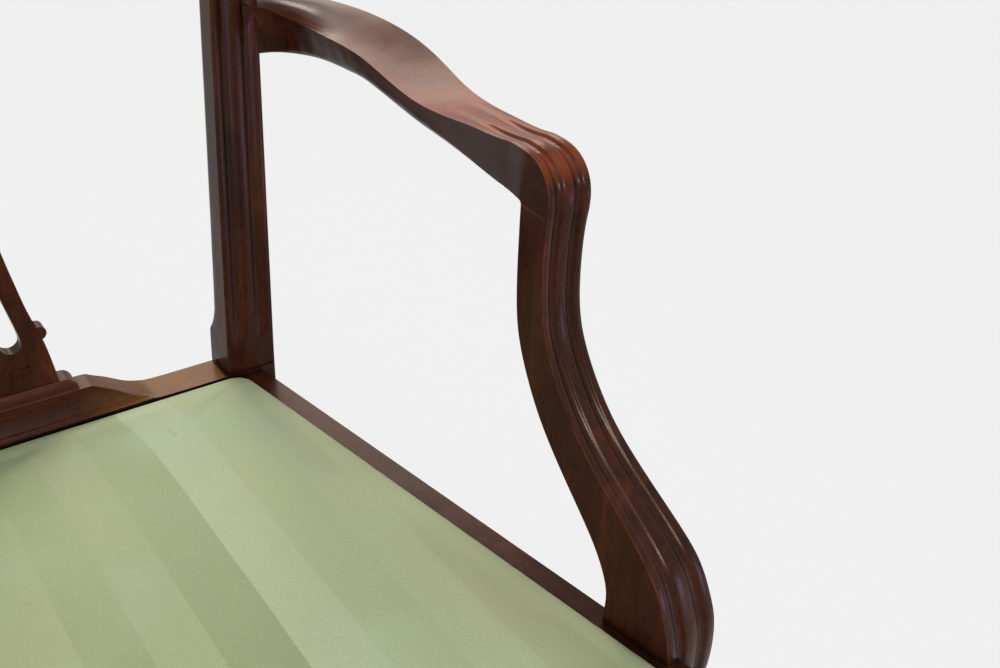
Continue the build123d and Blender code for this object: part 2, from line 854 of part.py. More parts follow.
def front_brace_blank():
    reach = brace_reach_front
    inner_y = rail_thickness - seat_depth
    corner_y = inner_y
    corner_x = rail_face(corner_y) - rail_thickness / cos(radians(side_splay))
    far_x, far_y = mid_rail_line(inner_y + reach, rail_thickness)
    plan = [(corner_x, corner_y), (far_x, far_y), (corner_x - reach, corner_y)]
    return prism(plan, brace_top - brace_height, brace_top)


def rear_brace_blank():
    reach = brace_reach_rear
    inner_y = lip_width - rail_thickness
    corner_x, corner_y = mid_rail_line(inner_y, rail_thickness)
    far_x, far_y = mid_rail_line(inner_y - reach, rail_thickness)
    plan = [(corner_x, corner_y), (far_x, far_y), (corner_x - reach, corner_y)]
    return prism(plan, brace_top - brace_height, brace_top)


def brace_screws_right():
    """Two screws through each right brace, square to its long face."""
    shapes = []
    z = brace_top - brace_height / 2
    for reach, inner_y, way, length in (
        (brace_reach_front, rail_thickness - seat_depth, 1, long_screw_length),
        (brace_reach_rear, lip_width - rail_thickness, -1, screw_length),
    ):
        corner_x = mid_rail_line(inner_y, rail_thickness)[0]
        side_x, side_y = mid_rail_line(inner_y + way * reach, rail_thickness)
        start, end = Vector(corner_x - reach, inner_y, z), Vector(side_x, side_y, z)
        run = end - start
        aim = Vector(abs(run.Y), -way * run.X, 0).normalized()
        for share in (0.24, 0.76):
            shapes.append(screw(start + run * share, aim, length))
    return shapes


def support_screws_right():
    """Two screws through the side rail into the foot of the arm support."""
    shapes = []
    face, across, inward, width, depth = support_section(support_stations_shares[-3])
    middle = face + inward * (depth / 2)
    for drop_share in (0.45, 0.80):
        z = -rail_height * drop_share
        start = Vector(middle.X, middle.Y, z) - across * (width / 2 + rail_thickness - support_lap)
        shapes.append(screw(start, across, screw_length))
    return shapes


# Drop-in seat


def rounded_plan(inset, z, corner):
    """Points round the drop-in seat at height z, its corners rounded off."""
    plan = well_plan(seat_gap + inset)
    points = []
    for index, place in enumerate(plan):
        before, after = plan[index - 1], plan[(index + 1) % len(plan)]
        place = Vector(*place, z)
        back_along = (Vector(*before, z) - place).normalized()
        on_along = (Vector(*after, z) - place).normalized()
        for step in range(corner_steps + 1):
            turn = pi / 2 * step / corner_steps
            inwards = back_along * (1 - sin(turn)) + on_along * (1 - cos(turn))
            points.append(place + inwards * corner)
    return points


crown_shares = [
    # inset as a share of the seat's depth, height as a share of the crown's rise
    (0.0, 0.0),
    (0.007, 0.16),
    (0.021, 0.31),
    (0.065, 0.55),
    (0.13, 0.76),
    (0.21, 0.93),
    (0.30, 1.0),
]


def seat_form(inset, bottom):
    """Crowned form of the seat: upright edges, then drawn in over the stuffing."""
    top = edge_height - inset
    rise = crown_height - edge_height
    rings = [rounded_plan(inset, bottom, seat_corner)]
    for inset_share, rise_share in crown_shares:
        way = inset_share * seat_depth
        corner = seat_corner + way * corner_growth
        rings.append(rounded_plan(inset + way, top + rise * rise_share, corner))
    return flat_sided(rings)


def seat_cover():
    outer = seat_form(0.0, cover_bottom)
    inner = seat_form(cover_thickness, frame_bottom)
    opening = frame_plan(turn_under, cover_bottom - overrun, frame_bottom + overrun)
    return outer - inner - opening


def frame_plan(inset, bottom, top):
    return flat_sided([rounded_plan(inset, z, seat_corner) for z in (bottom, top)])


def seat_frame():
    """Four rails, halved over each other at the corners."""
    inset = cover_thickness + glue_gap
    blank = frame_plan(inset, frame_bottom, frame_top)
    hole = frame_plan(inset + frame_width, frame_bottom - overrun, frame_top + overrun)
    ring = blank - hole
    half = frame_bottom + frame_height * frame_lap_share
    reach = rail_face(-seat_depth)
    back_edge = -seat_gap - inset - frame_width
    front_edge = -seat_depth + lip_width + seat_gap + inset + frame_width
    upper = Pos(0, -seat_depth / 2, half + frame_height / 2) * Box(2 * reach, 2 * seat_depth, frame_height)
    rear_zone = Pos(0, back_edge + seat_depth / 2, 0) * Box(2 * reach, seat_depth, seat_depth)
    front_zone = Pos(0, front_edge - seat_depth / 2, 0) * Box(2 * reach, seat_depth, seat_depth)
    inner = lip_width + seat_gap + inset + frame_width
    near, far = seat_depth, -2 * seat_depth
    inner_line = [(rail_face(near) - inner, near), (rail_face(far) - inner, far)]
    side_plan = inner_line + [(2 * reach, far), (2 * reach, near)]
    side_zone = prism(side_plan, frame_bottom - overrun, frame_top + overrun)
    sides = {"right": ring & side_zone, "left": ring & mirrored(side_zone)}
    ends = {"rear": ring & rear_zone, "front": ring & front_zone}
    pieces = {}
    for name, end in ends.items():
        corners = (end & side_zone) + (end & mirrored(side_zone))
        pieces["seat_frame_" + name] = end - (corners & upper)
    for name, side in sides.items():
        corners = (side & rear_zone) + (side & front_zone)
        pieces["seat_frame_" + name] = side - (corners - upper)
    return pieces


def webbing():
    """Three straps each way; the ones from front to back step down to the frame at their ends."""
    low = frame_top
    outline = frame_plan(webbing_inset, low - overrun, low + overrun)
    back = -seat_gap - cover_thickness - frame_width
    front = -seat_depth + lip_width + seat_gap + cover_thickness + frame_width
    across, along = [], []
    for share in strap_shares:
        strap = Box(2 * seat_depth, webbing_width, webbing_thickness)
        across.append(outline & (Pos(0, -seat_depth * share, low + webbing_thickness / 2) * strap))
    for share in strap_shares:
        x = strap_x(share)
        strap = Box(webbing_width, 2 * seat_depth, webbing_thickness)
        gap = Box(webbing_width, back - front, webbing_thickness)
        raised = Box(webbing_width, back - front + 2 * webbing_step, webbing_thickness)
        middle = (back + front) / 2
        ends = outline & (Pos(x, middle, low + webbing_thickness / 2) * strap)
        ends -= Pos(x, middle, low + webbing_thickness / 2) * gap
        along.append(ends + Pos(x, middle, low + webbing_thickness * 1.5) * raised)
    return across, along


def strap_x(share):
    """Middle of a strap from front to back."""
    return (1 - 2 * share) * back_half_width * 0.82


def base_cloth():
    low = frame_top + 2 * webbing_thickness
    return frame_plan(webbing_inset, low, low + base_cloth_thickness)


def seat_stuffing():
    low = frame_top + 2 * webbing_thickness + base_cloth_thickness
    form = seat_form(cover_thickness + stuffing_gap, frame_bottom)
    block = Pos(0, -seat_depth / 2, low + seat_depth / 2) * Box(2 * seat_depth, 2 * seat_depth, seat_depth)
    return form & block


def tack(x, y, z, up):
    """Cut tack with a square head, driven down for up 1 and upwards for up -1."""
    head = Pos(0, 0, tack_head_height / 2) * Box(tack_head, tack_head, tack_head_height)
    rings = ((0, tack_shank), (-tack_length, tack_point))
    shank = loft_through([Pos(0, 0, low) * Rectangle(side, side).wire() for low, side in rings])
    body = head + shank
    return Pos(x, y, z) * (body if up > 0 else Rot(180, 0, 0) * body)


def cover_tacks():
    """Tacks through the turned-under cover, five along each side."""
    corners = [Vector(x, y, cover_bottom) for x, y in well_plan(seat_gap + cover_tack_inset)]
    shapes = []
    for start, end in zip(corners, corners[1:] + corners[:1]):
        for share in (0.1, 0.3, 0.5, 0.7, 0.9):
            place = start + (end - start) * share
            shapes.append(tack(place.X, place.Y, place.Z, -1))
    return shapes


def webbing_tacks():
    """Two tacks through each end of each strap."""
    inset = webbing_inset + tack_head * 1.5
    z = frame_top + webbing_thickness
    shapes = []
    for share in strap_shares:
        for side in (-1, 1):
            y = side * webbing_width / 4 - seat_depth * share
            x = rail_face(y) - lip_width - inset / cos(radians(side_splay))
            shapes += [tack(x, y, z, 1), tack(-x, y, z, 1)]
            x = strap_x(share) + side * webbing_width / 4
            shapes += [tack(x, -inset, z, 1), tack(x, inset + lip_width - seat_depth, z, 1)]
    return shapes


# All the pieces


def group(shapes):
    return Compound(children=[Part() + shape for shape in shapes])


def build():
    well = seat_well()
    posts = post_blank()
    leg = front_leg_blank()
    side_rail = side_rail_blank()
    support = support_blank()
    arm = arm_blank() - posts
    pieces = {}

    ends = rear_leg_middle(stretcher_z), leg_depth / 2 - seat_depth
    side_stretcher = side_stretcher_bar(*ends, stretcher_thickness, stretcher_depth) - posts - leg
    cross = cross_stretcher_bar(0.0, stretcher_thickness, stretcher_depth) - side_stretcher
    cross -= mirrored(side_stretcher)
    cross_tenon = cross_stretcher_bar(0.0, stretcher_tenon_thickness, stretcher_tenon_height)
    cross_hole = cross_stretcher_bar(
        end_gap, stretcher_tenon_thickness + 2 * glue_gap, stretcher_tenon_height + 2 * glue_gap
    )
    pieces["side_stretcher_right"] = side_stretcher + side_stretcher_tenon(0.0, 0.0) - cross_hole
    pieces["cross_stretcher"] = cross + cross_tenon
    rear = rear_stretcher_bar(post_width / 2, stretcher_thickness, stretcher_depth) - posts
    rear -= mirrored(posts)
    pieces["rear_stretcher"] = rear + rear_stretcher_bar(
        stretcher_tenon_length, stretcher_tenon_thickness, stretcher_tenon_height
    )
    rear_hole = rear_stretcher_bar(
        stretcher_tenon_length + end_gap,
        stretcher_tenon_thickness + 2 * glue_gap,
        stretcher_tenon_height + 2 * glue_gap,
    )

    post = posts - side_rail_tenon(glue_gap, end_gap) - back_rail_tenon(glue_gap, end_gap)
    post = post - side_stretcher_tenon(glue_gap, end_gap) - rear_hole - arm_tenon(glue_gap, end_gap)
    pieces["back_post_right"] = post + crest_tenon(0.0, 0.0)

    screws = support_screws_right()
    lap_hole = support_lap_block(glue_gap)
    rail = side_rail - well - posts - lap_hole - support
    rail = rail + (side_rail_tenon(0.0, 0.0) - well)
    rail = rail - lap_hole
    brace_screws = brace_screws_right()
    for shape in screws + brace_screws:
        rail = rail - shape
    pieces["side_rail_right"] = rail

    foot = (support - side_rail) + support_lap_block(0.0)
    foot = foot + support_tenon(0.0, 0.0)
    for shape in screws:
        foot = foot - shape
    pieces["arm_support_right"] = foot
    pieces["arm_right"] = arm + arm_tenon(0.0, 0.0) - support_tenon(glue_gap, end_gap)

    shaft = leg - well - side_rail_tenon(glue_gap, end_gap) - front_rail_tenon(glue_gap, end_gap)
    pieces["front_leg_right"] = shaft - side_stretcher_tenon(glue_gap, end_gap)

    front_rail = front_rail_blank() - well + front_rail_tenon(0.0, 0.0)
    back_rail = back_rail_blank() - well - posts - mirrored(posts) - side_rail - mirrored(side_rail)
    back_rail = back_rail + back_rail_tenon(0.0, 0.0)
    front_brace = front_brace_blank() - leg
    rear_brace = rear_brace_blank()
    for shape in brace_screws:
        front_rail = front_rail - shape - mirrored(shape)
        back_rail = back_rail - shape - mirrored(shape)
        front_brace = front_brace - shape
        rear_brace = rear_brace - shape
    pieces["front_rail"] = front_rail
    pieces["back_rail"] = back_rail
    pieces["corner_brace_front_right"] = front_brace
    pieces["corner_brace_rear_right"] = rear_brace

    shoe = shoe_blank() - posts - mirrored(posts)
    foot_tenon = splat_tenon(shoe_height, 0.8, splat_tenon_length, 0.0)
    head_tenon = splat_tenon(splat_top, 0.8, splat_tenon_length, 0.0)
    crest = crest_blank()
    splat = splat_blank() - crest
    pieces["splat"] = splat + foot_tenon + head_tenon
    pieces["shoe"] = shoe - splat_tenon(shoe_height, 0.8, splat_tenon_length + end_gap, glue_gap)
    crest = crest - splat_tenon(splat_top, 0.8, splat_tenon_length + end_gap, glue_gap)
    crest_hole = crest_tenon(glue_gap, end_gap)
    pieces["crest_rail"] = crest - crest_hole - mirrored(crest_hole)

    for name in list(pieces):
        if name.endswith("_right"):
            pieces[name.replace("_right", "_left")] = mirrored(pieces[name])
    pieces["brace_screws"] = group(brace_screws + [mirrored(s) for s in brace_screws])
    pieces["support_screws"] = group(screws + [mirrored(s) for s in screws])

    under_tacks, strap_tacks = cover_tacks(), webbing_tacks()
    tacks = group(under_tacks + strap_tacks)
    for name, piece in seat_frame().items():
        pieces[name] = piece - tacks
    across, along = webbing()
    pieces["webbing_side_to_side"] = group([strap - tacks for strap in across])
    pieces["webbing_front_to_back"] = group([strap - tacks for strap in along])
    pieces["webbing_tacks"] = group(strap_tacks)
    pieces["base_cloth"] = base_cloth()
    pieces["seat_stuffing"] = seat_stuffing()
    pieces["seat_cover"] = seat_cover() - group(under_tacks)
    pieces["cover_tacks"] = group(under_tacks)
    return pieces


def main():
    os.makedirs("parts", exist_ok=True)
    pieces = build()
    everything = Compound(children=[Part() + piece for piece in pieces.values()])
    box = everything.bounding_box()
    shift = Location((0, -(box.min.Y + box.max.Y) / 2, seat_height))
    for name, piece in pieces.items():
        export_step(shift * piece, "parts/" + name + ".step")
    print(len(pieces), "nodes", box.size)


main()
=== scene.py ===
import math

import bpy
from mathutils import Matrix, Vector


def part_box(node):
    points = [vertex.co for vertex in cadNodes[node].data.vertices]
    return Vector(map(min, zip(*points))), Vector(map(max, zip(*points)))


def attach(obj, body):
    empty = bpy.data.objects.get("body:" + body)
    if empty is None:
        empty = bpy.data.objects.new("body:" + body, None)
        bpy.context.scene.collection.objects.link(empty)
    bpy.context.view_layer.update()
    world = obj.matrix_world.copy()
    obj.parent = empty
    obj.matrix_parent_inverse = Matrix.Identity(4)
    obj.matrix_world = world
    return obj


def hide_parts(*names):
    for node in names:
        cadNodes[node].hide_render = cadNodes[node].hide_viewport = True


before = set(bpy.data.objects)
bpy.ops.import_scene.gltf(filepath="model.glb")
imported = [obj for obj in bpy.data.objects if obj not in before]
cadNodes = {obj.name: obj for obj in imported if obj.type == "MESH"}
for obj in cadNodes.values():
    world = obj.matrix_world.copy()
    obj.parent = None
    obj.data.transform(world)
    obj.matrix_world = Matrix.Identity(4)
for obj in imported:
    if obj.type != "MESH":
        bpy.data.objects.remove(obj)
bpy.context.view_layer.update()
print("frame loaded,", len(cadNodes), "parts")

mm = 0.001
weldDistance = 0.01 * mm


# small helpers

def linear(hexColour):
    # sRGB hex to the linear colour that a shader socket takes
    values = []
    for i in (0, 2, 4):
        c = int(hexColour[i:i + 2], 16) / 255
        values.append(c / 12.92 if c <= 0.04045 else ((c + 0.055) / 1.055) ** 2.4)
    return (*values, 1.0)


def addNode(tree, kind, settings=None, links=None):
    # settings whose key is an input's name or number set that input, the others the node itself
    new = tree.nodes.new(kind)
    for key, value in (settings or {}).items():
        if key == "steps":
            new.color_ramp.interpolation = "CONSTANT"
        if key in ("stops", "steps"):
            ramp = new.color_ramp
            while len(ramp.elements) < len(value):
                ramp.elements.new(0.5)
            for element, (position, colour) in zip(ramp.elements, value):
                element.position = position
                element.color = linear(colour) if isinstance(colour, str) else (colour, colour, colour, 1.0)
        elif isinstance(key, int) or key in new.inputs:
            new.inputs[key].default_value = value
        else:
            setattr(new, key, value)
    for key, source in (links or {}).items():
        tree.links.new(source, new.inputs[key])
    return new


def newMaterial(name):
    material = bpy.data.materials.new(name)
    material.use_nodes = True
    material.node_tree.nodes.clear()
    return material, material.node_tree


def finishMaterial(tree, shader):
    output = tree.nodes.new("ShaderNodeOutputMaterial")
    tree.links.new(shader.outputs[0], output.inputs["Surface"])


def dress(piece, material):
    piece.data.materials.clear()
    piece.data.materials.append(material)


def pick(piece):
    # only this piece selected, and active
    bpy.ops.object.select_all(action="DESELECT")
    piece.select_set(True)
    bpy.context.view_layer.objects.active = piece


def openCopy(node, name):
    # a copy of a CAD node's mesh, merged and left in edit mode with everything selected
    piece = bpy.data.objects.new(name, cadNodes[node].data.copy())
    bpy.context.scene.collection.objects.link(piece)
    pick(piece)
    bpy.ops.mesh.customdata_custom_splitnormals_clear()
    bpy.ops.object.mode_set(mode="EDIT")
    bpy.ops.mesh.select_all(action="SELECT")
    bpy.ops.mesh.remove_doubles(threshold=weldDistance)
    return piece


def applyModifier(piece, name, kind, settings):
    modifier = piece.modifiers.new(name, kind)
    for key, value in settings.items():
        setattr(modifier, key, value)
    bpy.ops.object.modifier_apply(modifier=name)


# camera

viewpoint = {
    "lens": 43.35,                      # mm, on a sensor 36 mm wide
    "aside": -0.0599,                   # from the chair's middle
    "ahead": 0.6251,                    # in front of the posts, at the seat
    "height": 0.8717,
    "turn": (58.423, -1.956, -34.565),  # degrees
    "seatDepth": 0.430,
}

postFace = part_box("front_rail")[0].y + viewpoint["seatDepth"]
bpy.ops.object.camera_add(
    location=(viewpoint["aside"], postFace - viewpoint["ahead"], viewpoint["height"]),
    rotation=[math.radians(a) for a in viewpoint["turn"]],
)
camera = bpy.context.object
camera.name = "camera"
camera.data.lens = viewpoint["lens"]
camera.data.sensor_width = 36
camera.data.clip_start = 0.02
camera.data.clip_end = 100
bpy.context.scene.camera = camera
print("camera placed")


# studio

studio = {
    "paper": "f0f0f0",        # pale grey backdrop, as it is seen
    "paperStrength": 1.085,   # makes up for the share that takes shadows
    "paperLit": "7c7c7c",     # how much light it throws back
    "paperOwnShare": 0.90,    # share of the backdrop seen as plain paper, the rest takes shadows
    "floorSize": 30.0,
    "ambient": 0.44,          # light of the room from all round
}


def seenDirectly(tree):
    # 1 for a ray from the camera, and for one that a shiny or clear surface passes on
    path = addNode(tree, "ShaderNodeLightPath")
    seen = addNode(tree, "ShaderNodeMath", {"operation": "MAXIMUM"},
                   {0: path.outputs["Is Camera Ray"], 1: path.outputs["Is Glossy Ray"]})
    return addNode(tree, "ShaderNodeMath", {"operation": "MAXIMUM"},
                   {0: seen.outputs[0], 1: path.outputs["Is Transmission Ray"]})


def makeStudio():
    material, tree = newMaterial("backdrop paper, pale grey, matt")
    seen = seenDirectly(tree)
    share = addNode(tree, "ShaderNodeMath", {"operation": "MULTIPLY", 1: studio["paperOwnShare"]},
                    {0: seen.outputs[0]})
    paper = addNode(tree, "ShaderNodeBsdfDiffuse", {"Color": linear(studio["paperLit"])})
    plain = addNode(tree, "ShaderNodeEmission", {"Color": linear(studio["paper"]), "Strength": studio["paperStrength"]})
    finishMaterial(tree, addNode(tree, "ShaderNodeMixShader", links={
        0: share.outputs[0], 1: paper.outputs[0], 2: plain.outputs[0]}))

    bpy.ops.mesh.primitive_plane_add(size=studio["floorSize"], location=(0, 0, 0))
    floor = bpy.context.object
    floor.name = "studio_floor"
    bpy.ops.object.transform_apply(location=True, rotation=True, scale=True)
    dress(floor, material)

    world = bpy.data.worlds.new("soft room light")
    world.use_nodes = True
    tree = world.node_tree
    tree.nodes.clear()
    seen = seenDirectly(tree)
    room = addNode(tree, "ShaderNodeBackground", {"Color": linear("fbfaf7"), "Strength": studio["ambient"]})
    pale = addNode(tree, "ShaderNodeBackground", {"Color": linear(studio["paper"]), "Strength": 1.0})
    mixed = addNode(tree, "ShaderNodeMixShader",
                    links={0: seen.outputs[0], 1: room.outputs[0], 2: pale.outputs[0]})
    output = tree.nodes.new("ShaderNodeOutputWorld")
    tree.links.new(mixed.outputs[0], output.inputs["Surface"])
    bpy.context.scene.world = world


softLights = {
    # place, what it points at, width and height in metres, watts, colour
    "rear_softbox": ((0.85, 1.60, 1.55), (0.25, 0.05, 0.6), (1.0, 0.7), 11, "ffe9d6"),
    "rear_lamp": ((0.38, 1.60, 1.78), (0.25, 0.15, 0.6), (0.40, 0.05), 4, "fffaf2"),
    "ceiling_lamp": ((0.45, 1.15, 2.0), (0.1, 0.1, 0.45), (0.30, 0.12), 7, "fff8f0"),
    "top_softbox": ((-0.2, -0.3, 2.6), (0.0, 0.0, 0.4), (1.4, 1.2), 9, "fafcf6"),
    "front_window": ((-0.40, -1.65, 1.15), (0.2, -0.1, 0.5), (0.75, 0.34), 13, "fffcf4"),
    "front_lamp": ((-0.20, -1.70, 1.20), (0.25, -0.12, 0.5), (0.30, 0.22), 10, "fffaf0"),
    "left_window": ((-2.0, -0.5, 1.8), (0.0, 0.0, 0.5), (0.9, 1.2), 9, "eef0ff"),
    "left_strip": ((-1.00, -0.62, 0.55), (0.2, 0.2, 0.65), (0.20, 0.9), 5.5, "a9a2f4"),
    "low_front_strip": ((0.88, -0.80, 0.36), (0.2, 0.2, 0.6), (0.20, 0.24), 1.3, "b4afee"),
}


def makeLights():
    for name, (place, target, (wide, tall), watts, colour) in softLights.items():
        aim = (Vector(target) - Vector(place)).to_track_quat("-Z", "Y").to_euler()
        bpy.ops.object.light_add(type="AREA", location=place, rotation=aim)
        lamp = bpy.context.object
        lamp.name = name
        lamp.data.shape = "RECTANGLE"
        lamp.data.size = wide
        lamp.data.size_y = tall
        lamp.data.energy = watts
        lamp.data.color = linear(colour)[:3]


makeStudio()
makeLights()
bpy.context.scene.view_settings.view_transform = "Standard"
print("studio lit")


# polished wood

mahogany = {
    "darkest": "120804",
    "dark": "25100a",
    "middle": "35190f",
    "light": "4c2616",
    "worn": "7c4027",
    "figureWidth": 14.0,     # mm across one streak of the figure
    "figureLength": 160.0,   # mm along it
    "poreWidth": 0.9,        # mm, three times the real vessels so that they show
    "poreLength": 8.0,
    "edgeWear": 1.4,         # mm in from a rubbed edge
    "hollow": 7.0,           # mm, how far the painted shade, with the old wax and dirt, reaches out of a corner
    "roughness": 0.28,
}

# the polish is rubbed thin where hands rest, from the middle of the arm to the knuckle
handWear = {
    "starts": -0.01,         # metres in front of the posts
    "full": 0.15,
    "colour": "7c3a21",
}

# the back rail's top is bleached tan from the shoe's ends to the posts
bleached = {
    "colour": "6d4721",
    "from": 0.082,    # metres either side of the middle
    "full": 0.104,
    "to": 0.174,      # the posts' inner sides
}


def polishedMahogany(name, grain, handled=False, paled=False):
    # mahogany, French polished and waxed for two centuries: dark red-brown with a deep soft shine,
    # short dark vessel lines along the grain, and rubbed edges where the warm wood shows
    m = mahogany
    material, tree = newMaterial(name)
    place = addNode(tree, "ShaderNodeTexCoord")
    along = {"x": 0, "y": 1, "z": 2}[grain]

    def stretched(width, length):
        scale = [1 / (width * mm)] * 3
        scale[along] = 1 / (length * mm)
        return addNode(tree, "ShaderNodeMapping", {"Scale": scale}, {"Vector": place.outputs["Object"]})

    figureAt = stretched(m["figureWidth"], m["figureLength"])
    figure = addNode(tree, "ShaderNodeTexNoise", {"Scale": 1.0, "Detail": 4.0, "Roughness": 0.6, "Distortion": 0.5},
                     {"Vector": figureAt.outputs[0]})
    poresAt = stretched(m["poreWidth"], m["poreLength"])
    pores = addNode(tree, "ShaderNodeTexNoise", {"Scale": 1.0, "Detail": 2.0, "Roughness": 0.5},
                    {"Vector": poresAt.outputs[0]})
    patina = addNode(tree, "ShaderNodeTexNoise", {"Scale": 22.0, "Detail": 5.0, "Roughness": 0.6},
                     {"Vector": place.outputs["Object"]})

    base = addNode(tree, "ShaderNodeValToRGB", {"stops": [
        (0.20, m["dark"]), (0.50, m["middle"]), (0.80, m["light"])]}, {"Fac": figure.outputs["Fac"]})
    grimeShare = addNode(tree, "ShaderNodeMapRange", {"From Min": 0.50, "From Max": 0.32, "To Min": 0.0, "To Max": 0.6},
                         {"Value": patina.outputs["Fac"]})
    grimed = addNode(tree, "ShaderNodeMix", {"data_type": "RGBA", 7: linear(m["darkest"])},
                     {0: grimeShare.outputs[0], 6: base.outputs["Color"]})
    poreMask = addNode(tree, "ShaderNodeValToRGB", {"stops": [(0.36, 1.0), (0.45, 0.0)]}, {"Fac": pores.outputs["Fac"]})
    poreShare = addNode(tree, "ShaderNodeMath", {"operation": "MULTIPLY", 1: 0.5}, {0: poreMask.outputs["Color"]})
    colour = addNode(tree, "ShaderNodeMix", {"data_type": "RGBA", 7: linear(m["darkest"])},
                     {0: poreShare.outputs[0], 6: grimed.outputs[2]})
    surface = addNode(tree, "ShaderNodeNewGeometry")

    # painted shade darkens the channels and corners, where the surroundings shut out light, together with the old wax
    # and dirt there
    openness = addNode(tree, "ShaderNodeAmbientOcclusion", {"samples": 6, "Distance": m["hollow"] * mm})
    waxAndShadeShare = addNode(tree, "ShaderNodeMapRange", {"From Min": 0.92, "From Max": 0.50, "To Min": 0.0, "To Max": 0.9},
                       {"Value": openness.outputs["AO"]})
    colour = addNode(tree, "ShaderNodeMix", {"data_type": "RGBA", 7: linear(m["darkest"])},
                     {0: waxAndShadeShare.outputs[0], 6: colour.outputs[2]})

    if handled:
        at = addNode(tree, "ShaderNodeSeparateXYZ", links={0: place.outputs["Object"]})
        up = addNode(tree, "ShaderNodeSeparateXYZ", links={0: surface.outputs["Normal"]})
        facing = addNode(tree, "ShaderNodeMapRange", {"From Min": 0.35, "From Max": 0.85},
                         {"Value": up.outputs["Z"]})
        forward = addNode(tree, "ShaderNodeMapRange", {
            "From Min": postFace - handWear["starts"], "From Max": postFace - handWear["full"]},
            {"Value": at.outputs["Y"]})
        spots = addNode(tree, "ShaderNodeMapRange", {"From Min": 0.30, "From Max": 0.62, "To Min": 0.25, "To Max": 1.0},
                        {"Value": patina.outputs["Fac"]})
        rubbed = addNode(tree, "ShaderNodeMath", {"operation": "MULTIPLY"},
                         {0: facing.outputs[0], 1: forward.outputs[0]})
        rubbed = addNode(tree, "ShaderNodeMath", {"operation": "MULTIPLY"},
                         {0: rubbed.outputs[0], 1: spots.outputs[0]})
        colour = addNode(tree, "ShaderNodeMix", {"data_type": "RGBA", 7: linear(handWear["colour"])},
                         {0: rubbed.outputs[0], 6: colour.outputs[2]})
    if paled:
        at = addNode(tree, "ShaderNodeSeparateXYZ", links={0: place.outputs["Object"]})
        out = addNode(tree, "ShaderNodeMath", {"operation": "ABSOLUTE"}, {0: at.outputs["X"]})
        beyond = addNode(tree, "ShaderNodeMapRange", {"From Min": bleached["from"], "From Max": bleached["full"]},
                         {"Value": out.outputs[0]})
        before = addNode(tree, "ShaderNodeMath", {"operation": "LESS_THAN", 1: bleached["to"]}, {0: out.outputs[0]})
        within = addNode(tree, "ShaderNodeMath", {"operation": "MULTIPLY"},
                         {0: beyond.outputs[0], 1: before.outputs[0]})
        up = addNode(tree, "ShaderNodeSeparateXYZ", links={0: surface.outputs["Normal"]})
        upward = addNode(tree, "ShaderNodeMapRange", {"From Min": 0.1, "From Max": 0.7}, {"Value": up.outputs["Z"]})
        facing = addNode(tree, "ShaderNodeMath", {"operation": "MULTIPLY"},
                         {0: within.outputs[0], 1: upward.outputs[0]})
        spots = addNode(tree, "ShaderNodeMapRange", {
            "From Min": 0.30, "From Max": 0.55, "To Min": 0.35, "To Max": 0.95}, {"Value": patina.outputs["Fac"]})
        pale = addNode(tree, "ShaderNodeMath", {"operation": "MULTIPLY"},
                       {0: facing.outputs[0], 1: spots.outputs[0]})
        colour = addNode(tree, "ShaderNodeMix", {"data_type": "RGBA", 7: linear(bleached["colour"])},
                         {0: pale.outputs[0], 6: colour.outputs[2]})

    # rubbed edges, found where a rounded normal leaves the flat one, broken up by the patina
    rounded = addNode(tree, "ShaderNodeBevel", {"samples": 4, "Radius": m["edgeWear"] * mm})
    same = addNode(tree, "ShaderNodeVectorMath", {"operation": "DOT_PRODUCT"},
                   {0: rounded.outputs["Normal"], 1: surface.outputs["Normal"]})
    edge = addNode(tree, "ShaderNodeMapRange", {"From Min": 0.975, "From Max": 0.84, "To Min": 0.0, "To Max": 1.0},
                   {"Value": same.outputs["Value"]})
    worn = addNode(tree, "ShaderNodeMapRange", {"From Min": 0.48, "From Max": 0.68, "To Min": 0.0, "To Max": 0.8},
                   {"Value": patina.outputs["Fac"]})
    wornEdge = addNode(tree, "ShaderNodeMath", {"operation": "MULTIPLY"}, {0: edge.outputs[0], 1: worn.outputs[0]})
    colour = addNode(tree, "ShaderNodeMix", {"data_type": "RGBA", 7: linear(m["worn"])},
                     {0: wornEdge.outputs[0], 6: colour.outputs[2]})

    rough = addNode(tree, "ShaderNodeMapRange", {
        "From Min": 0.3, "From Max": 0.7, "To Min": m["roughness"] - 0.06, "To Max": m["roughness"] + 0.16},
        {"Value": patina.outputs["Fac"]})
    planed = addNode(tree, "ShaderNodeTexNoise", {"Scale": 45.0, "Detail": 1.0}, {"Vector": place.outputs["Object"]})
    handMade = addNode(tree, "ShaderNodeBump", {"Strength": 0.5, "Distance": 0.8 * mm},
                       {"Height": planed.outputs["Fac"]})
    bump = addNode(tree, "ShaderNodeBump", {"Strength": 0.12, "Distance": 0.10 * mm, "invert": True},
                   {"Height": poreMask.outputs["Color"], "Normal": handMade.outputs[0]})
    shader = addNode(tree, "ShaderNodeBsdfPrincipled", {
        "IOR": 1.5, "Specular IOR Level": 0.04, "Specular Tint": linear("ffd0ac"),
        "Coat Weight": 0.22, "Coat Roughness": 0.21, "Coat IOR": 1.45},
        {"Base Color": colour.outputs[2], "Roughness": rough.outputs[0], "Normal": bump.outputs[0],
         "Coat Normal": handMade.outputs[0]})
    finishMaterial(tree, shader)
    return material


woodUpright = polishedMahogany("mahogany, french polished, grain upright", "z")
woodAcross = polishedMahogany("mahogany, french polished, grain across", "x")
woodForeAft = polishedMahogany("mahogany, french polished, grain from front to back", "y")
woodBleached = polishedMahogany("mahogany, french polished, bleached by light", "x", paled=True)
woodHandled = polishedMahogany("mahogany, french polished, rubbed by hands", "y", handled=True)

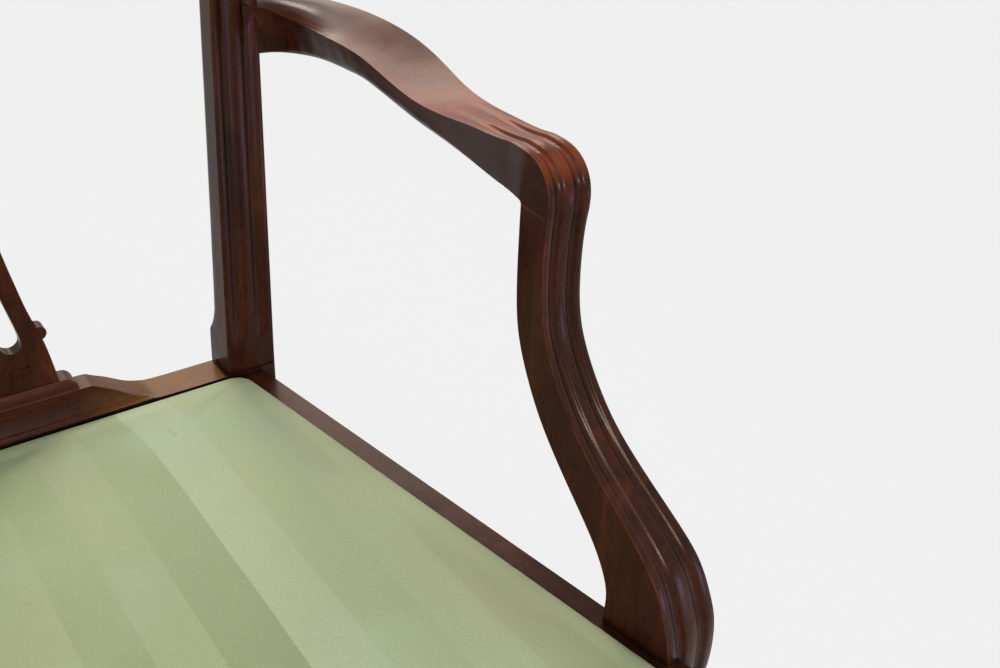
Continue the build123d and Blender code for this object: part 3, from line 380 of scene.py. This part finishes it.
polishedParts = {
    "back_post_left": woodUpright, "back_post_right": woodUpright, "crest_rail": woodAcross,
    "splat": woodUpright, "shoe": woodBleached, "back_rail": woodBleached, "side_rail_left": woodForeAft,
    "side_rail_right": woodForeAft, "front_rail": woodAcross, "front_leg_left": woodUpright,
    "front_leg_right": woodUpright, "side_stretcher_left": woodForeAft, "side_stretcher_right": woodForeAft,
    "cross_stretcher": woodAcross, "rear_stretcher": woodAcross, "arm_left": woodHandled,
    "arm_right": woodHandled, "arm_support_left": woodUpright, "arm_support_right": woodUpright,
}

# parts that are swept and moulded: degrees from which an edge between two facets is an arris
carvedParts = {
    "back_post": 24, "crest_rail": 24, "arm": 24, "front_leg": 24,
    "shoe": 62, "splat": 42, "back_rail": 55, "side_rail": 42,
}

softenedEdges = {
    "facing": 50.0,    # degrees, triangles that lie as one facet of a moulded part
    "soft": 0.5,       # how crisp a moulded part's arrises stay
    "sharper": 58.0,   # degrees, its edges that stay wholly crisp
    "levels": 2,       # how finely its facets are drawn out
    "flat": 0.6,       # degrees, faces of a square part that are one
    "width": 0.5,      # mm, rounding of its edges
    "segments": 2,
    "smoother": 40.0,  # degrees, its edges that are rounded
}


def finishedWood(name, material):
    # the part's own shape with its facets drawn out into curves and its sharp edges rubbed round
    e = softenedEdges
    piece = openCopy(name, name + "_finished")
    arris = next((angle for start, angle in carvedParts.items() if name.startswith(start)), None)
    if arris:
        bpy.ops.mesh.tris_convert_to_quads(face_threshold=math.radians(e["facing"]), shape_threshold=math.pi)
        bpy.ops.mesh.select_mode(type="EDGE")
        for angle, crease in ((arris, e["soft"]), (e["sharper"], 1.0)):
            bpy.ops.mesh.select_all(action="DESELECT")
            bpy.ops.mesh.edges_select_sharp(sharpness=math.radians(angle))
            bpy.ops.transform.edge_crease(value=crease)
        bpy.ops.mesh.select_mode(type="VERT")
        bpy.ops.object.mode_set(mode="OBJECT")
        applyModifier(piece, "drawn out", "SUBSURF", {"levels": e["levels"], "render_levels": e["levels"]})
    else:
        bpy.ops.mesh.dissolve_limited(angle_limit=math.radians(e["flat"]))
        bpy.ops.object.mode_set(mode="OBJECT")
        applyModifier(piece, "rubbed edges", "BEVEL", {
            "width": e["width"] * mm, "segments": e["segments"],
            "limit_method": "ANGLE", "angle_limit": math.radians(e["smoother"])})
    bpy.ops.object.shade_smooth_by_angle(angle=math.radians(e["sharper"] if arris else e["smoother"]))
    dress(piece, material)
    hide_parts(name)
    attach(piece, "chair_frame")


for name, material in polishedParts.items():
    finishedWood(name, material)
print("polished wood finished")


# plain wood under the seat

def innerWood(name, grain):
    # beech or oak left from the plane: pale brown, dusty, dull, with open grain
    material, tree = newMaterial(name)
    place = addNode(tree, "ShaderNodeTexCoord")
    scale = [1 / (5 * mm)] * 3
    scale[{"x": 0, "y": 1, "z": 2}[grain]] = 1 / (90 * mm)
    at = addNode(tree, "ShaderNodeMapping", {"Scale": scale}, {"Vector": place.outputs["Object"]})
    figure = addNode(tree, "ShaderNodeTexNoise", {"Scale": 1.0, "Detail": 6.0, "Roughness": 0.62, "Distortion": 0.4},
                     {"Vector": at.outputs[0]})
    dust = addNode(tree, "ShaderNodeTexNoise", {"Scale": 18.0, "Detail": 4.0}, {"Vector": place.outputs["Object"]})
    base = addNode(tree, "ShaderNodeValToRGB", {"stops": [(0.3, "4f3822"), (0.5, "79573a"), (0.72, "94704b")]},
                   {"Fac": figure.outputs["Fac"]})
    stain = addNode(tree, "ShaderNodeValToRGB", {"stops": [(0.45, 0.0), (0.8, 0.6)]}, {"Fac": dust.outputs["Fac"]})
    colour = addNode(tree, "ShaderNodeMix", {"data_type": "RGBA", 7: linear("3a2a1c")},
                     {0: stain.outputs["Color"], 6: base.outputs["Color"]})
    bump = addNode(tree, "ShaderNodeBump", {"Strength": 0.5, "Distance": 0.15 * mm}, {"Height": figure.outputs["Fac"]})
    finishMaterial(tree, addNode(tree, "ShaderNodeBsdfPrincipled", {"Roughness": 0.72, "Specular IOR Level": 0.3},
                                 {"Base Color": colour.outputs[2], "Normal": bump.outputs[0]}))
    return material


beechAcross = innerWood("beech, planed and bare, grain across", "x")
beechForeAft = innerWood("beech, planed and bare, grain from front to back", "y")
for name in ("seat_frame_front", "seat_frame_rear", "corner_brace_front_left", "corner_brace_front_right",
             "corner_brace_rear_left", "corner_brace_rear_right"):
    dress(cadNodes[name], beechAcross)
for name in ("seat_frame_left", "seat_frame_right"):
    dress(cadNodes[name], beechForeAft)


def handIron():
    # cut iron tacks and wood screws, wrought and gone dark: dull grey-brown metal with rust
    material, tree = newMaterial("iron, forged, darkened and lightly rusted")
    place = addNode(tree, "ShaderNodeTexCoord")
    spots = addNode(tree, "ShaderNodeTexNoise", {"Scale": 900.0, "Detail": 3.0}, {"Vector": place.outputs["Object"]})
    colour = addNode(tree, "ShaderNodeValToRGB", {"stops": [(0.4, "3a3532"), (0.6, "57463a"), (0.75, "6e4427")]},
                     {"Fac": spots.outputs["Fac"]})
    metal = addNode(tree, "ShaderNodeValToRGB", {"stops": [(0.5, 1.0), (0.7, 0.2)]}, {"Fac": spots.outputs["Fac"]})
    bump = addNode(tree, "ShaderNodeBump", {"Strength": 0.4, "Distance": 0.05 * mm}, {"Height": spots.outputs["Fac"]})
    finishMaterial(tree, addNode(tree, "ShaderNodeBsdfPrincipled", {"Roughness": 0.55}, {
        "Base Color": colour.outputs["Color"], "Metallic": metal.outputs["Color"], "Normal": bump.outputs[0]}))
    return material


darkIron = handIron()
for name in ("brace_screws", "support_screws", "webbing_tacks", "cover_tacks"):
    dress(cadNodes[name], darkIron)


bandsPerUnit = 3.1831    # that a wave texture draws at scale 1


def plainWeave(name, warp, weft, pitch, rough):
    # a flat woven cloth of coarse yarn, dull and dry, its threads drawn at their pitch in mm
    material, tree = newMaterial(name)
    place = addNode(tree, "ShaderNodeTexCoord")
    threads = []
    for axis in ("X", "Y"):
        threads.append(addNode(tree, "ShaderNodeTexWave", {
            "wave_type": "BANDS", "bands_direction": axis, "wave_profile": "SIN",
            "Scale": 1 / (pitch * mm) / bandsPerUnit, "Distortion": 0.6, "Detail": 1.0, "Detail Scale": 2.0},
            {"Vector": place.outputs["Object"]}))
    over = addNode(tree, "ShaderNodeMath", {"operation": "MULTIPLY"},
                   {0: threads[0].outputs["Fac"], 1: threads[1].outputs["Fac"]})
    colour = addNode(tree, "ShaderNodeMix", {"data_type": "RGBA", 6: linear(warp), 7: linear(weft)},
                     {0: over.outputs[0]})
    bump = addNode(tree, "ShaderNodeBump", {"Strength": 0.5, "Distance": 0.2 * mm}, {"Height": over.outputs[0]})
    finishMaterial(tree, addNode(tree, "ShaderNodeBsdfPrincipled", {"Roughness": rough, "Specular IOR Level": 0.2}, {
        "Base Color": colour.outputs[2], "Normal": bump.outputs[0]}))
    return material


jute = plainWeave("jute webbing, twilled, natural", "8a7147", "b39a6b", 1.4, 0.85)
hessian = plainWeave("hessian, loosely woven", "6f5a38", "a48a5c", 1.6, 0.9)

underSeat = {
    "selvedge": 0.4,      # mm, rounding along the straps' edges
    "clothEdge": 0.25,    # mm, and along the cloth's
    "segments": 3,
    "flat": 1.0,          # degrees, faces that are one
    "corner": 50.0,       # degrees, edges that are rounded
    "clothArea": 0.1257,  # square metres, cut as the seat's plan
}


def wovenPiece(name, edge, material):
    # the straps and the cloth keep their solids' place, with soft woven edges
    corner = math.radians(underSeat["corner"])
    piece = openCopy(name, name + "_woven")
    bpy.ops.mesh.dissolve_limited(angle_limit=math.radians(underSeat["flat"]))
    bpy.ops.object.mode_set(mode="OBJECT")
    applyModifier(piece, "soft edge", "BEVEL", {
        "width": edge * mm, "segments": underSeat["segments"], "limit_method": "ANGLE", "angle_limit": corner})
    bpy.ops.object.shade_smooth_by_angle(angle=corner)
    dress(piece, material)
    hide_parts(name)
    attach(piece, "drop_in_seat")
    return piece


webbingPieces = [wovenPiece(name, underSeat["selvedge"], jute)
                 for name in ("webbing_front_to_back", "webbing_side_to_side")]
baseCloth = wovenPiece("base_cloth", underSeat["clothEdge"], hessian)
print("webbing and base cloth laid")


# seat cover

stripes = {
    "spread": 265.0,       # mm either side of the middle that the bands are listed for
    "threadPitch": 0.7,    # mm, about twice the real thread so that the weave shows
    "slub": 1.6,           # mm, length of a thick place in a thread
    "waver": 1.6,          # mm that the bands' edges wander
    "frontFrom": 0.13,     # metres in front of the posts, where the bands begin to turn to their darker colours, painted shade
    "frontTo": 0.25,
    "faded": ("9fb69b", 0.50),     # cool tint where the light fell, and its share
    "dusty": ("a59f78", 0.30),     # warm tint where hands and dust came, and its share
    "soiled": "847b50",
}

# the bands from left to right: mm right of the middle where one begins, faded colour, colour near the front. The
# colours carry painted sheen, which makes some bands stand out more than others, and the darker colours near the front
# are painted shade
bands = (
    (-265.0, "9da782", "9aa481"), (-234.0, "a2ac88", "9ea885"), (-203.0, "9da882", "97a27c"),
    (-172.5, "a4ae8a", "9fa986"), (-141.5, "98a37d", "909b75"), (-110.5, "a1ab86", "9ca683"),
    (-80.0, "95a07a", "8d9871"), (-49.5, "9b9e78", "979b75"), (-18.5, "9da77f", "99a17b"),
    (12.5, "97a37c", "8c976f"), (40.0, "9aa581", "96a07b"), (67.5, "95a17c", "899570"),
    (97.8, "a8b493", "a1ac8c"), (129.0, "a3af8a", "9ca783"), (161.5, "a6b08d", "a0aa88"),
    (194.5, "a3ac88", "9ca581"), (226.0, "a4ae8a", "9fa985"),
)

# small old marks: mm right of the middle, mm in front of the posts, radius, how dark
marks = (
    (115.0, 55.0, 1.3, 0.5), (115.8, 58.5, 1.1, 0.6), (116.6, 62.5, 1.3, 0.5), (117.5, 95.0, 1.0, 0.45),
    (122.5, 102.0, 1.2, 0.5), (82.5, 60.0, 1.8, 0.25), (42.5, 150.0, 1.2, 0.3), (195.0, 222.0, 1.3, 0.45),
    (31.0, 217.0, 1.1, 0.35), (-64.0, 140.0, 1.5, 0.4), (-120.0, 255.0, 1.2, 0.45), (-38.0, 300.0, 1.8, 0.3),
)

cushion = {
    "rimAbove": 1.0,         # mm over the rails' top, where the crown begins
    "rise": 0.93,            # share of the crown that the blank has before it fills
    "voxel": 5.0,            # mm
    "heldAbove": 0.5,        # mm over the rim, up to which the cloth is held
    "pressure": 4.0,
    "frames": 20,            # how long it fills
    "mostSwell": 5.0,        # mm that any part of the cloth may have moved
    "cloth": 1.1,            # mm thick
    "turnUnder": 20.0,       # mm of cover under the frame
    "splay": 10.3,           # degrees, as the side rails
    "drawnTo": 6.0,          # mm over which the cover stops following its solid
    "foldsAbove": 3.0,       # mm over the rim, where folds may lie
    "smoother": 60.0,        # degrees, faces shaded as one curve below it
    "fill": 0.75,
}

# slack in the cover: mm right of the middle, mm in front of the posts where it starts and where it dies out,
# half width and height
folds = (
    (14.0, 30.0, 195.0, 4.5, 1.5), (31.0, 25.0, 190.0, 4.5, 1.3), (-24.0, 15.0, 150.0, 5.0, 1.1),
    (190.0, 200.0, 330.0, 7.0, 0.5), (-150.0, 150.0, 300.0, 8.0, 0.6),
)


def stripedSatin():
    # silk and cotton stripe, woven: satin bands and matt ribbed ones in two near sage greens,
    # faded and a little soiled, with a soft sheen along the bands
    s = stripes
    material, tree = newMaterial("silk and cotton satin stripe, woven, sage green, faded")
    place = addNode(tree, "ShaderNodeTexCoord")
    split = addNode(tree, "ShaderNodeSeparateXYZ", links={0: place.outputs["Object"]})
    ripple = addNode(tree, "ShaderNodeTexNoise", {"Scale": 9.0, "Detail": 2.0}, {"Vector": place.outputs["Object"]})
    shift = addNode(tree, "ShaderNodeMath", {
        "operation": "MULTIPLY_ADD", 1: s["waver"] * mm, 2: -s["waver"] / 2 * mm}, {0: ripple.outputs["Fac"]})
    across = addNode(tree, "ShaderNodeMath", {"operation": "ADD"}, {0: split.outputs["X"], 1: shift.outputs[0]})
    share = addNode(tree, "ShaderNodeMapRange", {"From Min": -s["spread"] * mm, "From Max": s["spread"] * mm},
                    {"Value": across.outputs[0]})
    # the bands' colours with their painted sheen, turning towards the front to the darker ones that are painted shade
    faded, shadedFront = [addNode(tree, "ShaderNodeValToRGB", {
        "steps": [((band[0] + s["spread"]) / (2 * s["spread"]), band[which]) for band in bands]},
        {"Fac": share.outputs[0]}) for which in (1, 2)]
    front = addNode(tree, "ShaderNodeMapRange", {
        "From Min": postFace - s["frontFrom"], "From Max": postFace - s["frontTo"]}, {"Value": split.outputs["Y"]})
    colour = addNode(tree, "ShaderNodeMix", {"data_type": "RGBA"},
                     {0: front.outputs[0], 6: faded.outputs["Color"], 7: shadedFront.outputs["Color"]})

    cloud = addNode(tree, "ShaderNodeTexNoise", {"Scale": 7.0, "Detail": 3.0, "Roughness": 0.55},
                    {"Vector": place.outputs["Object"]})
    for low, high, (tint, most) in ((0.52, 0.72, s["faded"]), (0.46, 0.28, s["dusty"])):
        much = addNode(tree, "ShaderNodeMapRange", {"From Min": low, "From Max": high, "To Max": most},
                       {"Value": cloud.outputs["Fac"]})
        colour = addNode(tree, "ShaderNodeMix", {"data_type": "RGBA", 7: linear(tint)},
                         {0: much.outputs[0], 6: colour.outputs[2]})

    # each mark fades outward from its middle, measured in plan
    soil = None
    plan = addNode(tree, "ShaderNodeCombineXYZ", links={0: split.outputs["X"], 1: split.outputs["Y"]})
    for x, ahead, radius, dark in marks:
        away = addNode(tree, "ShaderNodeVectorMath", {"operation": "DISTANCE", 1: (x * mm, postFace - ahead * mm, 0)},
                       {0: plan.outputs[0]})
        ring = addNode(tree, "ShaderNodeMapRange", {
            "From Min": radius * 1.6 * mm, "From Max": radius * 0.3 * mm, "To Max": dark},
            {"Value": away.outputs["Value"]})
        soil = ring if soil is None else addNode(tree, "ShaderNodeMath", {"operation": "MAXIMUM"},
                                                 {0: soil.outputs[0], 1: ring.outputs[0]})
    blotch = addNode(tree, "ShaderNodeTexNoise", {"Scale": 700.0, "Detail": 2.0}, {"Vector": place.outputs["Object"]})
    blotched = addNode(tree, "ShaderNodeMapRange", {"From Min": 0.4, "From Max": 0.6}, {"Value": blotch.outputs["Fac"]})
    soil = addNode(tree, "ShaderNodeMath", {"operation": "MULTIPLY"}, {0: soil.outputs[0], 1: blotched.outputs[0]})
    colour = addNode(tree, "ShaderNodeMix", {"data_type": "RGBA", 7: linear(s["soiled"])},
                     {0: soil.outputs[0], 6: colour.outputs[2]})

    slubAt = addNode(tree, "ShaderNodeMapping", {
        "Scale": (1 / (s["threadPitch"] * mm), 1 / (s["slub"] * mm), 1 / (s["slub"] * mm))},
        {"Vector": place.outputs["Object"]})
    slub = addNode(tree, "ShaderNodeTexNoise", {"Scale": 1.0, "Detail": 3.0}, {"Vector": slubAt.outputs[0]})
    slubShare = addNode(tree, "ShaderNodeMapRange", {"From Min": 0.3, "From Max": 0.7, "To Min": 0.93, "To Max": 1.07},
                        {"Value": slub.outputs["Fac"]})
    colour = addNode(tree, "ShaderNodeVectorMath", {"operation": "SCALE"},
                     {0: colour.outputs[2], "Scale": slubShare.outputs[0]})
    rough = addNode(tree, "ShaderNodeMapRange", {"From Min": 0.3, "From Max": 0.7, "To Min": 0.60, "To Max": 0.75},
                    {"Value": slub.outputs["Fac"]})
    bump = addNode(tree, "ShaderNodeBump", {"Strength": 0.2, "Distance": 0.12 * mm}, {"Height": slub.outputs["Fac"]})
    finishMaterial(tree, addNode(tree, "ShaderNodeBsdfPrincipled", {
        "Specular IOR Level": 0.25, "Sheen Weight": 0.15, "Sheen Roughness": 0.4, "Sheen Tint": linear("e8efd8")},
        {"Base Color": colour.outputs[0], "Roughness": rough.outputs[0], "Normal": bump.outputs[0]}))
    return material


def selectFaces(piece, test):
    # in edit mode, only the faces that pass
    bpy.ops.mesh.select_all(action="DESELECT")
    bpy.ops.object.mode_set(mode="OBJECT")
    for face in piece.data.polygons:
        face.select = test(face)
    bpy.ops.object.mode_set(mode="EDIT")


def makeCushion():
    c = cushion
    low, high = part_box("seat_cover")
    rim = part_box("side_rail_right")[1].z + c["rimAbove"] * mm
    middle = (low + high) / 2

    # the solid's own outer form, closed below
    pad = openCopy("seat_cover", "seat_cushion_cover")
    bpy.ops.mesh.select_mode(type="FACE")
    selectFaces(pad, lambda f: isInside(f, middle, low.z))
    bpy.ops.mesh.delete(type="FACE")
    bpy.ops.mesh.select_mode(type="EDGE")
    bpy.ops.mesh.select_all(action="DESELECT")
    bpy.ops.mesh.select_non_manifold()
    bpy.ops.mesh.edge_face_add()
    bpy.ops.mesh.select_all(action="SELECT")
    bpy.ops.mesh.normals_make_consistent(inside=False)
    bpy.ops.object.mode_set(mode="OBJECT")
    form = bpy.data.objects.new("seat_form", pad.data.copy())
    bpy.context.scene.collection.objects.link(form)
    for v in pad.data.vertices:
        if v.co.z > rim:
            v.co.z = rim + (v.co.z - rim) * c["rise"]

    applyModifier(pad, "even cloth", "REMESH", {"mode": "VOXEL", "voxel_size": c["voxel"] * mm})

    # the cloth is held round its sides and fills a little above the rails
    rest = [v.co.copy() for v in pad.data.vertices]
    held = pad.vertex_groups.new(name="held")
    for v in pad.data.vertices:
        held.add([v.index], 1.0 if v.co.z < rim + c["heldAbove"] * mm else 0.0, "REPLACE")
    cloth = pad.modifiers.new("filling", "CLOTH")
    cloth.settings.use_pressure = True
    cloth.settings.uniform_pressure_force = c["pressure"]
    cloth.settings.vertex_group_mass = held.name
    cloth.settings.effector_weights.gravity = 0
    scene = bpy.context.scene
    for number in range(1, c["frames"] + 1):
        scene.frame_set(number)
    shaped = pad.evaluated_get(bpy.context.evaluated_depsgraph_get()).data
    moved = [v.co.copy() for v in shaped.vertices]
    pad.modifiers.remove(cloth)
    scene.frame_set(1)
    most = c["mostSwell"] * mm
    steps = [(end - start).length for start, end in zip(rest, moved)]
    for v, start, end, step in zip(pad.data.vertices, rest, moved, steps):
        v.co = start + (end - start) * min(1.0, most / max(step, 1e-9))
    pad.vertex_groups.clear()
    print("cushion filled, the cloth moved up to %.1f mm" % (max(steps) / mm))

    applyModifier(pad, "smooth cloth", "SUBSURF", {"levels": 1, "render_levels": 1})

    # drawn tight over the frame, the cover's sides and rim keep to the solid's form
    near = pad.vertex_groups.new(name="near the rim")
    for v in pad.data.vertices:
        share = 1 - (v.co.z - rim - c["rimAbove"] * mm) / (c["drawnTo"] * mm)
        near.add([v.index], max(0.0, min(1.0, share)), "REPLACE")
    applyModifier(pad, "drawn tight", "SHRINKWRAP", {
        "target": form, "wrap_method": "NEAREST_SURFACEPOINT", "vertex_group": near.name})
    pad.vertex_groups.clear()
    bpy.data.objects.remove(form)

    # each fold is a low ridge with a shallow dip at either side, dying out at its ends
    for v in pad.data.vertices:
        if v.co.z > rim + c["foldsAbove"] * mm:
            ahead = (postFace - v.co.y) / mm
            for x, start, end, half, height in folds:
                along = (ahead - start) / (end - start)
                across = (v.co.x / mm - x) / half
                if 0 < along < 1 and abs(across) < 2:
                    ridge = math.exp(-across ** 2) - 0.35 * math.exp(-(across / 1.6) ** 2)
                    v.co.z += height * mm * math.sin(math.pi * along) ** 0.7 * ridge

    # the underside is open inside the turned-under edge
    under = c["turnUnder"] * mm
    slope = math.tan(math.radians(c["splay"]))
    bpy.ops.object.mode_set(mode="EDIT")
    bpy.ops.mesh.select_mode(type="FACE")
    selectFaces(pad, lambda f: f.center.z < low.z + 2 * mm and low.y + under < f.center.y < high.y - under
                and abs(f.center.x) < high.x - (f.center.y - low.y) * slope - under)
    bpy.ops.mesh.delete(type="FACE")
    bpy.ops.object.mode_set(mode="OBJECT")
    applyModifier(pad, "cloth thickness", "SOLIDIFY", {"thickness": c["cloth"] * mm, "offset": -1})
    bpy.ops.object.shade_smooth_by_angle(angle=math.radians(c["smoother"]))
    dress(pad, stripedSatin())
    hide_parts("seat_cover", "seat_stuffing")
    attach(pad, "drop_in_seat")


def isInside(face, middle, bottom):
    # faces of the shell's inner side look towards its middle
    if abs(face.normal.z) > 0.3:
        return (face.normal.z < 0) != (face.center.z < bottom + 0.5 * mm)
    outward = Vector((face.center.x - middle.x, face.center.y - middle.y, 0))
    return face.normal.dot(outward) < 0


makeCushion()
print("seat covered")
